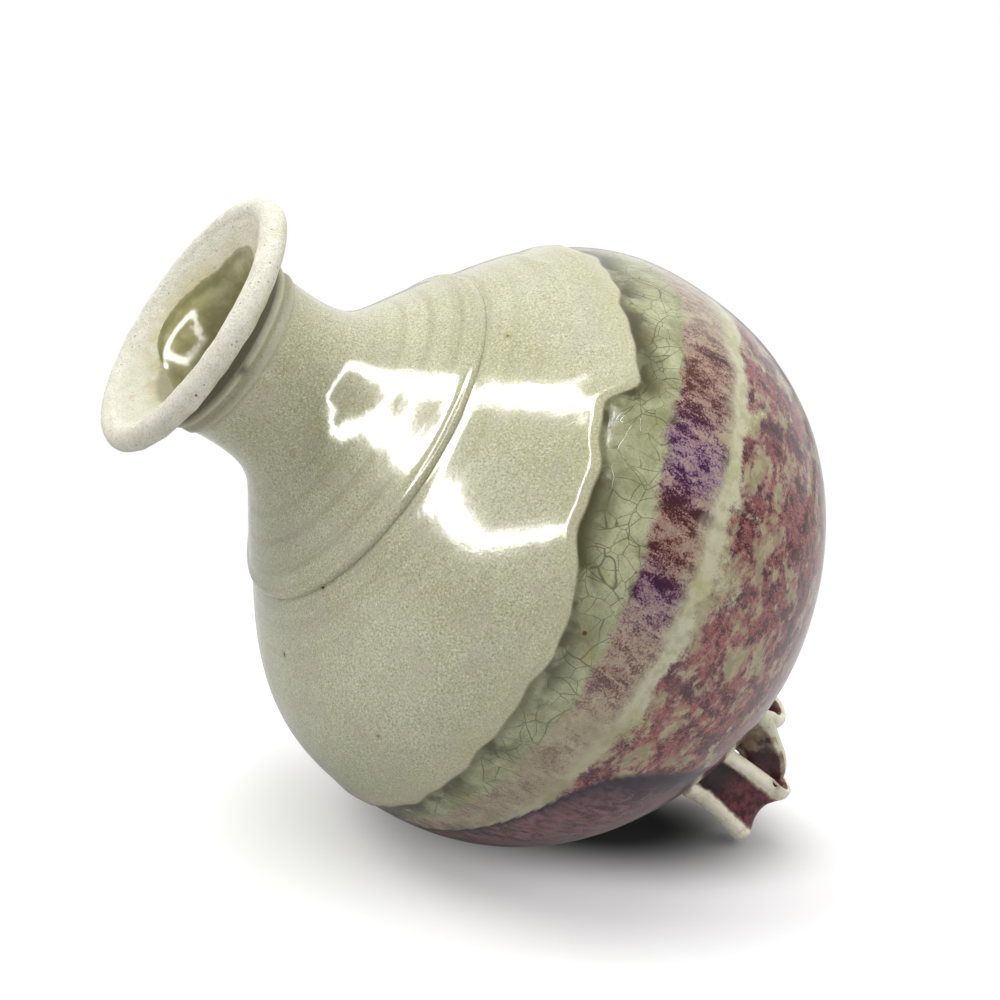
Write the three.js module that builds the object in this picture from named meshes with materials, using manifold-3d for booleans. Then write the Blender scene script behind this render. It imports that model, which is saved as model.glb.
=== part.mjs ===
// Leaning bottle vase: a round thrown body, a drawn-in neck, a flared bare-clay mouth ring
// and three pulled strap feet. Millimetres, +Z up, standing on the plane z = 0.
import * as THREE from 'three';
import { mergeVertices } from 'three/addons/utils/BufferGeometryUtils.js';
import Module from 'manifold-3d';

const wasm = await Module();
wasm.setup();

// Stance: height of the globe's middle above the table, and the lean to -X in degrees
const standHeight = 73.0;
const leanAngle = 10.4;

// Globe: heights along the thrown axis, from the middle of the globe
const bellyRadius = 58.0;
const bellyHeight = 1.5;
const baseDepth = 58.0;
const baseFlatRadius = 5.0;
const baseFullness = 0.62;
const baseRoundness = 0.73;
const underBellyPull = 0.5;
const overBellyPull = 0.55;
const shoulderPull = 0.3;
const globeWall = 4.8;

// Shoulder joint: the neck's skirt sits over a tongue on the globe and stands a little proud
const shoulderRadius = 33.4;
const shoulderHeight = 43.0;
const shoulderSlope = 1.23;
const skirtProud = 0.5;
const shoulderTongue = 2.0;
const shoulderLand = 1.0;

// Neck
const neckSweep = 14.8;
const waistRadius = 15.4;
const waistHeight = 67.0;
const waistPull = 0.5;
const neckTopRadius = 16.4;
const neckTopHeight = 76.0;
const neckWall = 4.0;
const neckTongue = 1.6;
const neckTongueShare = 0.45;
const collarRidge = 0.6;
const collarPitch = 2.4;
const collarRidges = 2;

// Mouth ring: a dished flange with a rolled lip. Its reach is from the neck's top radius, its
// dish's edge from the throat's radius, and its heights from the neck's top
const flangeReach = 7.1;
const flangeRise = 3.2;
const lipRise = 5.9;
const lipBead = 2.4;
const lipBeadStart = -110;
const lipBeadEnd = 145;
const dishStep = 3.3;
const dishRise = 4.0;

// Strap feet: a grooved strap folded into a narrow loop, with a thin tail swung to one side
const strapWidth = 12.0;
const strapTipFlare = 2.4;
const strapTailWidth = 6.4;
const strapThickness = 3.5;
const strapGroove = 1.1;
const footRootRadius = 14.6;
const footRootSwing = -1.6;
const footTipRadius = 14.4;
const footTailInset = 4.6;
const footTailSwing = 6.6;
const footTailBow = 8.4;
const foldInnerRadius = 0.5;
const tailTwist = -16;
const feet = [
  { name: 'strap_foot_front', azimuth: -29, width: 1.0, reach: 1.6, twist: 38 },
  { name: 'strap_foot_right', azimuth: 143, width: 0.76, reach: 0, twist: 20 },
  { name: 'strap_foot_left', azimuth: 237, width: 0.82, reach: 0.6, twist: 20 },
];

// Fits: gaps at the joints, the flat worn on each foot, and how deep straps start in the globe
const jointGap = 0.3;
const footGap = 0.33;
const restFlat = 0.6;
const rootSink = 10.0;

// Fineness of the curves
const roundSegments = 56;
const frontSteps = 5;
const foldSteps = 8;
const tailSteps = 8;
const beadSteps = 11;
const collarSteps = 12;

// Materials
const upperGlaze = new THREE.MeshStandardMaterial({ color: 0xb4b299, roughness: 0.16, metalness: 0 });
const lowerGlaze = new THREE.MeshStandardMaterial({ color: 0x7d4a50, roughness: 0.14, metalness: 0 });
const bareClay = new THREE.MeshStandardMaterial({ color: 0xddd9c8, roughness: 0.85, metalness: 0 });
const footGlaze = new THREE.MeshStandardMaterial({ color: 0x6b3038, roughness: 0.2, metalness: 0 });

// Solids and meshes

function toSolid(geometry) {
  const plain = geometry.clone();
  plain.deleteAttribute('normal');
  plain.deleteAttribute('uv');
  const merged = mergeVertices(plain, 1e-4);
  const corners = merged.index.array;
  const faces = [];
  for (let i = 0; i < corners.length; i += 3) {
    const [a, b, c] = corners.slice(i, i + 3);
    if (a !== b && b !== c && c !== a) {
      faces.push(a, b, c);
    }
  }
  const mesh = new wasm.Mesh({
    numProp: 3,
    vertProperties: new Float32Array(merged.attributes.position.array),
    triVerts: new Uint32Array(faces),
  });
  return new wasm.Manifold(mesh);
}

function toGeometry(solid) {
  const mesh = solid.getMesh();
  const geometry = new THREE.BufferGeometry();
  geometry.setAttribute('position', new THREE.BufferAttribute(mesh.vertProperties, 3));
  geometry.setIndex(new THREE.BufferAttribute(mesh.triVerts, 1));
  geometry.computeVertexNormals();
  return geometry;
}

function named(name, solid, material) {
  const mesh = new THREE.Mesh(toGeometry(solid), material);
  mesh.name = name;
  return mesh;
}

// Outlines of the thrown form: x is the radius, y the height along the thrown axis

const point = (radius, height) => new THREE.Vector2(radius, height);

function curve(start, pullStart, pullEnd, end, steps) {
  return new THREE.CubicBezierCurve(start, pullStart, pullEnd, end).getPoints(steps);
}

// The direction in which a row of points runs at one of them
function heading(points, i) {
  const before = points[Math.max(i - 1, 0)];
  const after = points[Math.min(i + 1, points.length - 1)];
  return after.clone().sub(before).normalize();
}

// A row of points moved sideways by a wall, towards the inside of the pot
function inset(points, wall) {
  return points.map((here, i) => {
    const along = heading(points, i);
    return point(Math.max(here.x - along.y * wall, 0), here.y + along.x * wall);
  });
}

function lathe(outline) {
  const geometry = new THREE.LatheGeometry(outline, roundSegments);
  geometry.rotateX(Math.PI / 2);
  return geometry;
}

// A lathed solid whose outline runs round a hollow and back to its first point
function latheRing(outline) {
  return toSolid(lathe([...outline, outline[0].clone()]));
}

function globeOutside() {
  const rise = shoulderHeight - bellyHeight;
  const base = point(baseFlatRadius, -baseDepth);
  const belly = point(bellyRadius, bellyHeight);
  const shoulder = point(shoulderRadius, shoulderHeight);
  const lower = curve(
    base,
    point(bellyRadius * baseFullness, -baseDepth * baseRoundness),
    point(bellyRadius, -baseDepth * underBellyPull),
    belly,
    12,
  );
  const drop = rise * shoulderPull;
  const upper = curve(
    belly,
    point(bellyRadius, bellyHeight + rise * overBellyPull),
    point(shoulderRadius + drop * shoulderSlope, shoulderHeight - drop),
    shoulder,
    10,
  );
  return [point(0, -baseDepth), ...lower, ...upper.slice(1)];
}

// Radii at the shoulder joint: the globe's hollow, the hollow at the tongue's top, and the tongue
const shoulderHollow = shoulderRadius - globeWall * Math.hypot(1, shoulderSlope);
const tongueHollow = shoulderHollow - shoulderTongue * shoulderSlope;
const tongueRadius = (shoulderHollow + shoulderRadius) / 2 - shoulderLand;

function globeBody() {
  const outside = globeOutside();
  const inside = inset(outside.slice(2, -1), globeWall).reverse();
  const tongueTop = shoulderHeight + shoulderTongue;
  const outline = [
    ...outside,
    point(tongueRadius, shoulderHeight),
    point(tongueRadius, tongueTop),
    point(tongueHollow, tongueTop),
    ...inside.filter((here) => here.y < shoulderHeight && here.x > baseFlatRadius),
    point(0, globeWall - baseDepth),
  ];
  return toSolid(lathe(outline));
}

function neckOutside() {
  const skirt = point(shoulderRadius + skirtProud, shoulderHeight + jointGap);
  return curve(
    skirt,
    point(skirt.x - neckSweep, skirt.y + neckSweep / shoulderSlope),
    point(waistRadius, THREE.MathUtils.lerp(waistHeight, shoulderHeight, waistPull)),
    point(waistRadius, waistHeight),
    10,
  );
}

// Fine ridges run round under the mouth, where the collar was drawn in
function collar() {
  return Array.from({ length: collarSteps }, (_, i) => {
    const along = (i + 1) / collarSteps;
    const height = THREE.MathUtils.lerp(waistHeight, neckTopHeight, along);
    const ridge = (neckTopHeight - height) / collarPitch;
    const swell = ridge < collarRidges ? collarRidge * Math.sin(Math.PI * ridge) ** 2 : 0;
    return point(THREE.MathUtils.lerp(waistRadius, neckTopRadius, along ** 2) + swell, height);
  });
}

const throatRadius = neckTopRadius - neckWall;
const neckTongueRadius = throatRadius + neckWall * neckTongueShare;

function neck() {
  const outside = neckOutside();
  const seat = shoulderHeight + shoulderTongue + jointGap;
  const rebate = tongueRadius + jointGap;
  const hollow = inset(outside, neckWall).filter((here) => here.x < tongueHollow && here.y > seat);
  return latheRing([
    point(rebate, shoulderHeight + jointGap),
    ...outside,
    ...collar(),
    point(neckTongueRadius, neckTopHeight),
    point(neckTongueRadius, neckTopHeight + neckTongue),
    point(throatRadius, neckTopHeight + neckTongue),
    point(throatRadius, neckTopHeight),
    ...hollow.reverse(),
    point(tongueHollow - jointGap * shoulderSlope, seat),
    point(rebate, seat),
  ]);
}

const lipRadius = neckTopRadius + flangeReach;
const lipHeight = neckTopHeight + lipRise;

function lipPoint(degrees) {
  const angle = THREE.MathUtils.degToRad(degrees);
  return point(lipRadius + lipBead * Math.cos(angle), lipHeight + lipBead * Math.sin(angle));
}

function mouthRing() {
  const foot = neckTopHeight + jointGap;
  const seat = neckTopHeight + neckTongue + jointGap;
  const bead = Array.from({ length: beadSteps + 1 }, (_, i) => {
    return lipPoint(THREE.MathUtils.lerp(lipBeadStart, lipBeadEnd, i / beadSteps));
  });
  const dishRadius = throatRadius + dishStep;
  const dishHeight = neckTopHeight + dishRise;
  const flangeUnderside = neckTopHeight + flangeRise;
  const under = curve(
    point(neckTopRadius, foot),
    point(neckTopRadius + 0.4, flangeUnderside - 1.2),
    point(lipRadius - lipBead * 1.7, flangeUnderside),
    bead[0],
    6,
  );
  const dish = curve(
    bead[beadSteps],
    point(lipRadius - lipBead * 1.6, lipHeight + 0.3),
    point(dishRadius + 1.6, dishHeight + 1.0),
    point(dishRadius, dishHeight),
    5,
  );
  const throat = curve(
    point(dishRadius, dishHeight),
    point(dishRadius - 1.2, dishHeight - 0.75),
    point(throatRadius + 0.3, seat + 1.0),
    point(throatRadius, seat),
    4,
  );
  const rebate = neckTongueRadius + jointGap;
  return latheRing([
    point(rebate, foot),
    ...under,
    ...bead.slice(1),
    ...dish.slice(1),
    ...throat.slice(1),
    point(rebate, seat),
  ]);
}

// The strap's middle line in the foot's own frame: x outwards, y sideways, z up

const spot = (x, y, z) => new THREE.Vector3(x, y, z);

// Height above the table, at a radius, to which a strap runs on inside the globe's outline
function insideGlobe(radius) {
  const outline = globeOutside();
  const next = outline.findIndex((here) => here.x > radius);
  const [low, high] = outline.slice(next - 1, next + 1);
  const share = (radius - low.x) / (high.x - low.x);
  return standHeight + THREE.MathUtils.lerp(low.y, high.y, share) + rootSink;
}

function strapLine(reach) {
  const half = strapThickness / 2;
  const fold = foldInnerRadius + half;
  const bottom = fold + half - restFlat;
  const root = spot(footRootRadius + reach - half, footRootSwing, insideGlobe(footRootRadius));
  const foldStart = spot(footTipRadius + reach - half, 0, bottom);
  const foldEnd = spot(foldStart.x - 2 * fold, 0, bottom);
  const tail = spot(footTailInset, footTailSwing, insideGlobe(0) + rootSink);
  const front = new THREE.LineCurve3(root, foldStart).getPoints(frontSteps);
  const turn = Array.from({ length: foldSteps - 1 }, (_, i) => {
    const angle = (Math.PI * (i + 1)) / foldSteps;
    return spot(foldStart.x - fold + fold * Math.cos(angle), 0, bottom - fold * Math.sin(angle));
  });
  const bowed = spot(foldEnd.x, footTailBow, bottom + 4);
  const below = spot(tail.x, tail.y, tail.z - 8);
  const back = new THREE.CubicBezierCurve3(foldEnd, bowed, below, tail).getPoints(tailSteps);
  return { points: [...front, ...turn, ...back], tailStart: front.length + turn.length };
}

// The strap's section, across and outwards: a shallow groove between two soft lips
function strapSection(width) {
  const half = width / 2;
  const outer = strapThickness / 2;
  const edge = Math.min(strapThickness, half) * 0.3;
  return [
    [half - edge * 0.7, outer],
    [half * 0.5, outer - strapGroove * 0.85],
    [0, outer - strapGroove],
    [-half * 0.5, outer - strapGroove * 0.85],
    [edge * 0.7 - half, outer],
    [-half, outer - edge],
    [-half, edge - outer],
    [edge - half, -outer],
    [half - edge, -outer],
    [half, edge - outer],
    [half, outer - edge],
  ];
}

function strapRings(foot) {
  const { points, tailStart } = strapLine(foot.reach);
  return points.map((here, i) => {
    const along = heading(points, i);
    const tailShare = Math.max(0, i - tailStart + 1) / (points.length - tailStart);
    const twist = THREE.MathUtils.degToRad(THREE.MathUtils.lerp(foot.twist, tailTwist, tailShare));
    const across = spot(-Math.sin(twist), Math.cos(twist), 0);
    across.addScaledVector(along, -across.dot(along)).normalize();
    const outwards = along.clone().cross(across);
    const flare = strapTipFlare * Math.min(1, i / frontSteps);
    const frontWidth = (strapWidth + flare) * foot.width;
    const width = THREE.MathUtils.lerp(frontWidth, strapTailWidth, Math.sqrt(tailShare));
    return strapSection(width).map(([x, y]) => {
      return here.clone().addScaledVector(across, x).addScaledVector(outwards, y);
    });
  });
}

function strap(foot) {
  const rings = strapRings(foot);
  const around = rings[0].length;
  const last = (rings.length - 1) * around;
  const faces = [];
  for (let low = 0; low < last; low += around) {
    const high = low + around;
    for (let k = 0; k < around; k += 1) {
      const next = (k + 1) % around;
      faces.push(low + k, low + next, high + k);
      faces.push(low + next, high + next, high + k);
    }
  }
  for (let k = 1; k < around - 1; k += 1) {
    faces.push(0, k + 1, k);
    faces.push(last, last + k, last + k + 1);
  }
  const geometry = new THREE.BufferGeometry().setFromPoints(rings.flat());
  geometry.setIndex(faces);
  return geometry;
}

// The thrown form is built upright and then leaned over the feet

const thrown = new THREE.Group();
thrown.position.z = standHeight;
thrown.rotation.y = -THREE.MathUtils.degToRad(leanAngle);
thrown.updateMatrix();

function globeTrimmer() {
  const skin = inset(globeOutside(), -footGap);
  const geometry = lathe([...skin, point(0, shoulderHeight + jointGap)]);
  geometry.applyMatrix4(thrown.matrix);
  return toSolid(geometry);
}

function table() {
  const side = 4 * bellyRadius;
  const geometry = new THREE.BoxGeometry(side, side, standHeight);
  geometry.translate(0, 0, -standHeight / 2);
  return toSolid(geometry);
}

function strapFoot(foot) {
  const geometry = strap(foot);
  geometry.rotateZ(THREE.MathUtils.degToRad(foot.azimuth - 90));
  return toSolid(geometry).subtract(globeTrimmer()).subtract(table());
}

thrown.add(
  named('globe_body', globeBody(), lowerGlaze),
  named('neck', neck(), upperGlaze),
  named('mouth_ring', mouthRing(), bareClay),
);

const vase = new THREE.Group();
vase.add(thrown, ...feet.map((foot) => named(foot.name, strapFoot(foot), footGlaze)));

// The origin is under the middle of the whole vase
const middle = new THREE.Box3().setFromObject(vase, true).getCenter(new THREE.Vector3());
vase.position.set(-middle.x, -middle.y, 0);

export default vase;
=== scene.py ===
"""Looks of the leaning bottle vase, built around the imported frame. Metres, in the row frame."""

import math
from types import SimpleNamespace

import bmesh
import bpy
import numpy as np
from mathutils import Matrix, Vector, noise


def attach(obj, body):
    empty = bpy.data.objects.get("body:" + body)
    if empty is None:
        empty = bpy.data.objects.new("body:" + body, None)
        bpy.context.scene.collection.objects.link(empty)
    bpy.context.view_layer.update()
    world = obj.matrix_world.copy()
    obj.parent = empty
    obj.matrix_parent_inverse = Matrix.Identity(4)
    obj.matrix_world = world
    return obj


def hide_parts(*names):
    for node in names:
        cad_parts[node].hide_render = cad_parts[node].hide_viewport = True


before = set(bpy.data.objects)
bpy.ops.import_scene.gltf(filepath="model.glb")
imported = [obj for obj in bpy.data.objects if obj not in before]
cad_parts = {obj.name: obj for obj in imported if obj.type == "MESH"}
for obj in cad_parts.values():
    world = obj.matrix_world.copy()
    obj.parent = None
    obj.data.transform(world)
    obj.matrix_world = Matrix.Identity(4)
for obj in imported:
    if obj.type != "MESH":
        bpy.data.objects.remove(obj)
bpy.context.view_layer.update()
MM = 0.001

# Stance of the thrown form: the globe's middle and the lean, as in the CAD part
GLOBE_MIDDLE = Vector((0.373, 0.0, 73.0)) * MM
LEAN = math.radians(10.4)
THROWN = Matrix.Translation(GLOBE_MIDDLE) @ Matrix.Rotation(-LEAN, 4, "Y")

# Outline of the thrown form, in millimetres from the globe's middle, as in the CAD part
BELLY_RADIUS = 58.0
BELLY_HEIGHT = 1.5
BASE_DEPTH = 58.0
BASE_FLAT = 5.0
GLOBE_WALL = 4.8
SHOULDER_RADIUS = 33.4
SHOULDER_HEIGHT = 43.0
SHOULDER_SLOPE = 1.23
SKIRT_PROUD = 0.5
NECK_SWEEP = 14.8
WAIST_RADIUS = 15.4
WAIST_HEIGHT = 67.0
NECK_TOP_RADIUS = 16.4
NECK_TOP = 76.0
NECK_WALL = 4.0
LIP_RADIUS = 23.5
LIP_HEIGHT = 81.9
LIP_BEAD = 2.4
DISH_RADIUS = 15.7
DISH_HEIGHT = 80.0
FLANGE_UNDERSIDE = 79.2
JOINT_GAP = 0.3

# Inner radii where the globe's shoulder and the neck's top end
HOLLOW_TOP = SHOULDER_RADIUS - GLOBE_WALL * math.hypot(1.0, SHOULDER_SLOPE)
THROAT_RADIUS = NECK_TOP_RADIUS - NECK_WALL

# Camera at the photograph's angle, in the row frame
CAMERA_PLACE = Vector((2.09, -392.3, 277.5)) * MM
CAMERA_RIGHT = Vector((0.70339, -0.31181, -0.63876))
CAMERA_UP = Vector((0.71080, 0.30856, 0.63210))
CAMERA_BACK = Vector((0.0, -0.89864, 0.43868))
CAMERA_SETTINGS = {
    "sensor_width": 36.0,
    "lens": 82.9,
    "shift_x": -0.002,
    "shift_y": -0.001,
    "clip_start": 0.01,
    "clip_end": 20.0,
}


def turned(right, up, back, place):
    """A placing matrix from three axes and a point."""
    rotation = Matrix((right, up, back)).transposed().to_4x4()
    return Matrix.Translation(place) @ rotation


def linked(name, data):
    """A new object in the scene."""
    made = bpy.data.objects.new(name, data)
    bpy.context.scene.collection.objects.link(made)
    return made


def add_camera():
    lens = bpy.data.cameras.new("camera")
    for key, value in CAMERA_SETTINGS.items():
        setattr(lens, key, value)
    camera = linked("camera", lens)
    camera.matrix_world = turned(CAMERA_RIGHT, CAMERA_UP, CAMERA_BACK, CAMERA_PLACE)
    bpy.context.scene.camera = camera


# Node building


def colour(text):
    """A linear colour from its usual six-digit form."""
    values = [int(text[i : i + 2], 16) / 255 for i in (0, 2, 4)]
    linear = [v / 12.92 if v <= 0.04045 else ((v + 0.055) / 1.055) ** 2.4 for v in values]
    return (*linear, 1.0)


def grey(value):
    return (value, value, value, 1.0)


class Graph:
    """The node tree of a material or a world, with short calls for the nodes used here."""

    def __init__(self, owner, thrown=False):
        owner.use_nodes = True
        self.owner = owner
        self.tree = owner.node_tree
        self.tree.nodes.clear()
        self.thrown = thrown
        self.coordinates = None

    def node(self, kind, inputs=(), **settings):
        made = self.tree.nodes.new("ShaderNode" + kind)
        for key, value in settings.items():
            setattr(made, key, value)
        for key, value in dict(inputs).items():
            if isinstance(value, bpy.types.NodeSocket):
                self.tree.links.new(value, made.inputs[key])
            else:
                made.inputs[key].default_value = value
        return made

    def math(self, operation, a, b=0.0, clamp=False):
        return self.node("Math", {0: a, 1: b}, operation=operation, use_clamp=clamp).outputs[0]

    def times(self, a, b):
        return self.math("MULTIPLY", a, b)

    def plus(self, a, b):
        return self.math("ADD", a, b)

    def minus(self, a, b):
        return self.math("SUBTRACT", a, b)

    def inverse(self, value):
        """1 where the value is 0, and 0 where it is 1."""
        return self.minus(1.0, value)

    def swing(self, value, reach):
        """A noise, made to swing to both sides of zero."""
        return self.times(self.minus(value, 0.5), reach)

    def vector(self, operation, a, b=(0.0, 0.0, 0.0), out="Vector"):
        return self.node("VectorMath", {0: a, 1: b}, operation=operation).outputs[out]

    def place(self, stretch=(1.0, 1.0, 1.0)):
        """Object coordinates in millimetres, along the thrown form if asked, stretched along each axis."""
        if self.coordinates is None:
            self.coordinates = self.node("TexCoord").outputs["Object"]
            if self.thrown:
                back = THROWN.inverted()
                turn = {"Rotation": back.to_euler(), "Location": back.translation}
                self.coordinates = self.mapped(turn)
        return self.mapped({"Scale": Vector(stretch) / MM})

    def mapped(self, sockets):
        return self.node("Mapping", {"Vector": self.coordinates, **sockets}).outputs["Vector"]

    def noise(self, scale, detail, roughness, stretch=(1.0, 1.0, 1.0), warp=0.0, shift=None):
        """Noise from 0 to 1, with its scale per millimetre."""
        place = self.place(stretch)
        if shift is not None:
            place = self.vector("ADD", place, shift)
        sockets = {"Vector": place, "Scale": scale, "Detail": detail, "Roughness": roughness}
        return self.node("TexNoise", {**sockets, "Distortion": warp}).outputs["Fac"]

    def steps(self, value, start, end):
        """From 0 at the start to 1 at the end, smoothly. The start may be the greater."""
        sockets = {"Value": value, "From Min": start, "From Max": end}
        return self.node("MapRange", sockets, interpolation_type="SMOOTHSTEP").outputs["Result"]

    def mix(self, share, a, b):
        """From colour a to colour b. Each is a socket, a linear colour or six digits."""
        a, b = (colour(value) if isinstance(value, str) else value for value in (a, b))
        return self.node("Mix", {0: share, 6: a, 7: b}, data_type="RGBA").outputs[2]

    def tint(self, base, tone, share, most):
        """The base colour with the tone over it: that much of it where the share is 1."""
        return self.mix(self.times(share, most), base, tone)

    def tints(self, base, *layers):
        """Several tints, each a tone, a share and the most of it. A share with two values after it is
        a noise, which sets in between them."""
        for tone, share, *span, most in layers:
            base = self.tint(base, tone, self.steps(share, *span) if span else share, most)
        return base

    def attribute(self, name):
        return self.node("Attribute", attribute_name=name).outputs["Fac"]

    def bump(self, height, distance, strength):
        """A normal from a height that is 1 for the distance in millimetres."""
        sockets = {"Height": height, "Distance": distance * MM, "Strength": strength}
        return self.node("Bump", sockets).outputs["Normal"]

    def finish(self, tone, roughness, normal, **others):
        sockets = {"Base Color": tone, "Roughness": roughness, "Normal": normal, **others}
        shader = self.node("BsdfPrincipled", sockets)
        self.node("OutputMaterial", {"Surface": shader.outputs[0]})
        return self.owner


# Edges of the glaze bands: (degrees round the thrown axis, height in millimetres)

COAT_EDGE = [
    (7, 27.6), (-8, 26.8), (-24, 26.2), (-39, 24.2), (-46, 22.6), (-52, 26.6), (-60, 25.6), (-68, 24.0),
    (-80, 22.2), (-88, 17.8), (-97, 15.4), (-109, 13.8), (-128, 10.5), (-150, 7.3), (-172, 6.5),
    (-198, 9.5), (-222, 10.5), (-240, 15.0), (-262, 17.0), (-285, 23.5), (-310, 22.0), (-332, 26.5),
]
VIOLET_EDGE = [
    (-8, 15.0), (-33, 15.4), (-53, 15.6), (-70, 12.8), (-83, 9.8), (-98, 6.9), (-118, 4.6), (-140, 2.5),
    (-172, 0.5), (-210, 2.0), (-250, 5.0), (-290, 9.5), (-330, 13.0),
]
PALE_MIDDLE = [
    (-8, 3.6), (-36, 2.6), (-52, 1.7), (-65, 0.6), (-81, -2.2), (-99, -4.0), (-112, -5.0), (-140, -7.0),
    (-172, -8.5), (-210, -8.0), (-250, -5.0), (-290, -1.0), (-330, 2.5),
]
PALE_HALF = 2.1
BEYOND_RUN = 30.0

# Where the streaks are violet, and where brown: (degrees round the thrown axis, spread, strength)
VIOLET_PATCHES = [(-57.0, 10.0, 0.9), (-80.0, 6.0, 0.75), (118.0, 26.0, 0.8), (22.0, 18.0, 0.7)]
BROWN_PATCHES = [
    (-39.0, 9.0, 0.95), (-70.0, 7.0, 0.95), (66.0, 18.0, 0.7), (168.0, 14.0, 0.6), (-94.0, 8.0, 0.5),
]

# Where the dark pool and its runs start, low on the side that lies on the table: (height in
# millimetres, degrees round the thrown axis)
POOL_EDGE = [
    (-45, -104), (-27, -106.5), (-20, -107.5), (-15, -109), (-10.5, -112), (-8.6, -115.5), (-7.6, -118.5),
    (-6.4, -125), (-5, -135), (-3, -150), (0, -175),
]

# Where the glaze of the throat stops on the dish: (degrees, radius in millimetres)
THROAT_EDGE = [
    (-10, 16.6), (-40, 15.4), (-70, 16.2), (-100, 14.6), (-130, 15.6), (-160, 13.6), (-190, 13.0),
    (-220, 14.2), (-245, 17.4), (-262, 18.0), (-285, 16.6), (-310, 15.6), (-335, 16.8),
]


def around(points, angles):
    """A smooth closed curve through (degrees, value) points, at the given degrees."""
    degrees, values = np.array(sorted((a % 360.0, v) for a, v in points)).T
    count = len(values)
    degrees = np.concatenate([degrees[-2:] - 360.0, degrees, degrees[:2] + 360.0])
    values = np.concatenate([values[-2:], values, values[:2]])
    slopes = np.zeros(count + 4)
    slopes[1:-1] = (values[2:] - values[:-2]) / (degrees[2:] - degrees[:-2])
    here = np.asarray(angles) % 360.0
    k = np.clip(np.searchsorted(degrees, here, side="right") - 1, 1, count + 1)
    width = degrees[k + 1] - degrees[k]
    t = (here - degrees[k]) / width
    flat = values[k] * (2 * t**3 - 3 * t**2 + 1) + values[k + 1] * (3 * t**2 - 2 * t**3)
    return flat + width * (slopes[k] * (t**3 - 2 * t**2 + t) + slopes[k + 1] * (t**3 - t**2))


def smooth(value, low, high):
    """0 below low and 1 above high, smoothly."""
    t = np.clip((value - low) / (high - low), 0.0, 1.0)
    return t * t * (3.0 - 2.0 * t)


def bell(value, middle, width):
    """1 at the middle, fading over the width."""
    return np.exp(-(((value - middle) / width) ** 2))


def apart(angles, middle):
    """Degrees from one direction, between -180 and 180."""
    return (np.asarray(angles) - middle + 180.0) % 360.0 - 180.0


# Lathed skins


def bezier(a, b, c, d, count=40):
    """Points of a cubic curve."""
    t = np.linspace(0.0, 1.0, count)[:, None]
    a, b, c, d = (np.array(p, dtype=float) for p in (a, b, c, d))
    return (1 - t) ** 3 * a + 3 * (1 - t) ** 2 * t * b + 3 * (1 - t) * t**2 * c + t**3 * d


def run_along(points):
    """Distance along a line at each of its points."""
    return np.concatenate([[0.0], np.cumsum(np.linalg.norm(np.diff(points, axis=0), axis=1))])


def evened(points, spacing):
    """The same outline with its points a given distance apart."""
    run = run_along(points)
    at = np.linspace(0.0, run[-1], round(run[-1] / spacing) + 1)
    return np.column_stack([np.interp(at, run, points[:, 0]), np.interp(at, run, points[:, 1])])


def outwards(outline):
    """Unit normals of an outline whose solid is on its left."""
    ahead = np.gradient(outline, axis=0)
    normals = np.column_stack([ahead[:, 1], -ahead[:, 0]])
    return normals / np.maximum(np.hypot(*normals.T), 1e-9)[:, None]


def ring_faces(on_axis, columns):
    """Faces between rings of points, with one corner where a ring shrinks to the axis."""
    faces = []
    for row in range(len(on_axis) - 1):
        low = row * columns
        high = low + columns
        for column in range(columns):
            after = (column + 1) % columns
            if on_axis[row]:
                faces.append((low, high + after, high + column))
            elif on_axis[row + 1]:
                faces.append((low + column, low + after, high))
            else:
                faces.append((low + column, low + after, high + after, high + column))
    return faces


def marked_mesh(name, points, faces, marks):
    """A mesh from points in millimetres, with an attribute for each mark."""
    mesh = bpy.data.meshes.new(name)
    mesh.from_pydata((points * MM).tolist(), [], faces)
    for key, values in marks.items():
        layer = mesh.attributes.new(key, "FLOAT", "POINT")
        layer.data.foreach_set("value", np.ascontiguousarray(values, dtype=np.float32).ravel())
    return mesh


def skin(name, outline, columns, relief, marks, material, node):
    """A closed lathe of an outline in millimetres. From grids of the angle in degrees, the radius and
    the height, relief gives the rise along the normal, and marks the attributes."""
    degrees = np.arange(columns) * 360.0 / columns
    angle, radius = np.meshgrid(degrees, outline[:, 0])
    height = np.repeat(outline[:, 1:], columns, axis=1)
    given = marks(angle, radius, height)
    rise = relief(angle, radius, height)
    on_axis = outline[:, 0] < 1e-6
    rise[on_axis] = rise[on_axis].mean(axis=1, keepdims=True)
    normal = outwards(outline)
    radius = np.maximum(radius + rise * normal[:, :1], 0.0)
    radius[on_axis] = 0.0
    height = height + rise * normal[:, 1:]
    turn = np.radians(angle)
    points = np.stack([radius * np.cos(turn), radius * np.sin(turn), height], axis=-1).reshape(-1, 3)
    mesh = marked_mesh(name, points, ring_faces(on_axis, columns), given)
    mesh.transform(THROWN)
    drop_loose(mesh)
    placed(name, mesh, material, node)


def placed(name, mesh, material, node):
    """A piece in place of a CAD node, riding on the vase's one body."""
    mesh.shade_smooth()
    mesh.materials.append(material)
    piece = linked(name, mesh)
    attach(piece, "root")
    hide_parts(node)
    return piece


def drop_loose(mesh):
    """Removes the points that no face uses: all but one of those on the axis."""
    shape = bmesh.new()
    shape.from_mesh(mesh)
    bmesh.ops.delete(shape, geom=[v for v in shape.verts if not v.link_faces], context="VERTS")
    shape.to_mesh(mesh)
    shape.free()


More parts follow.
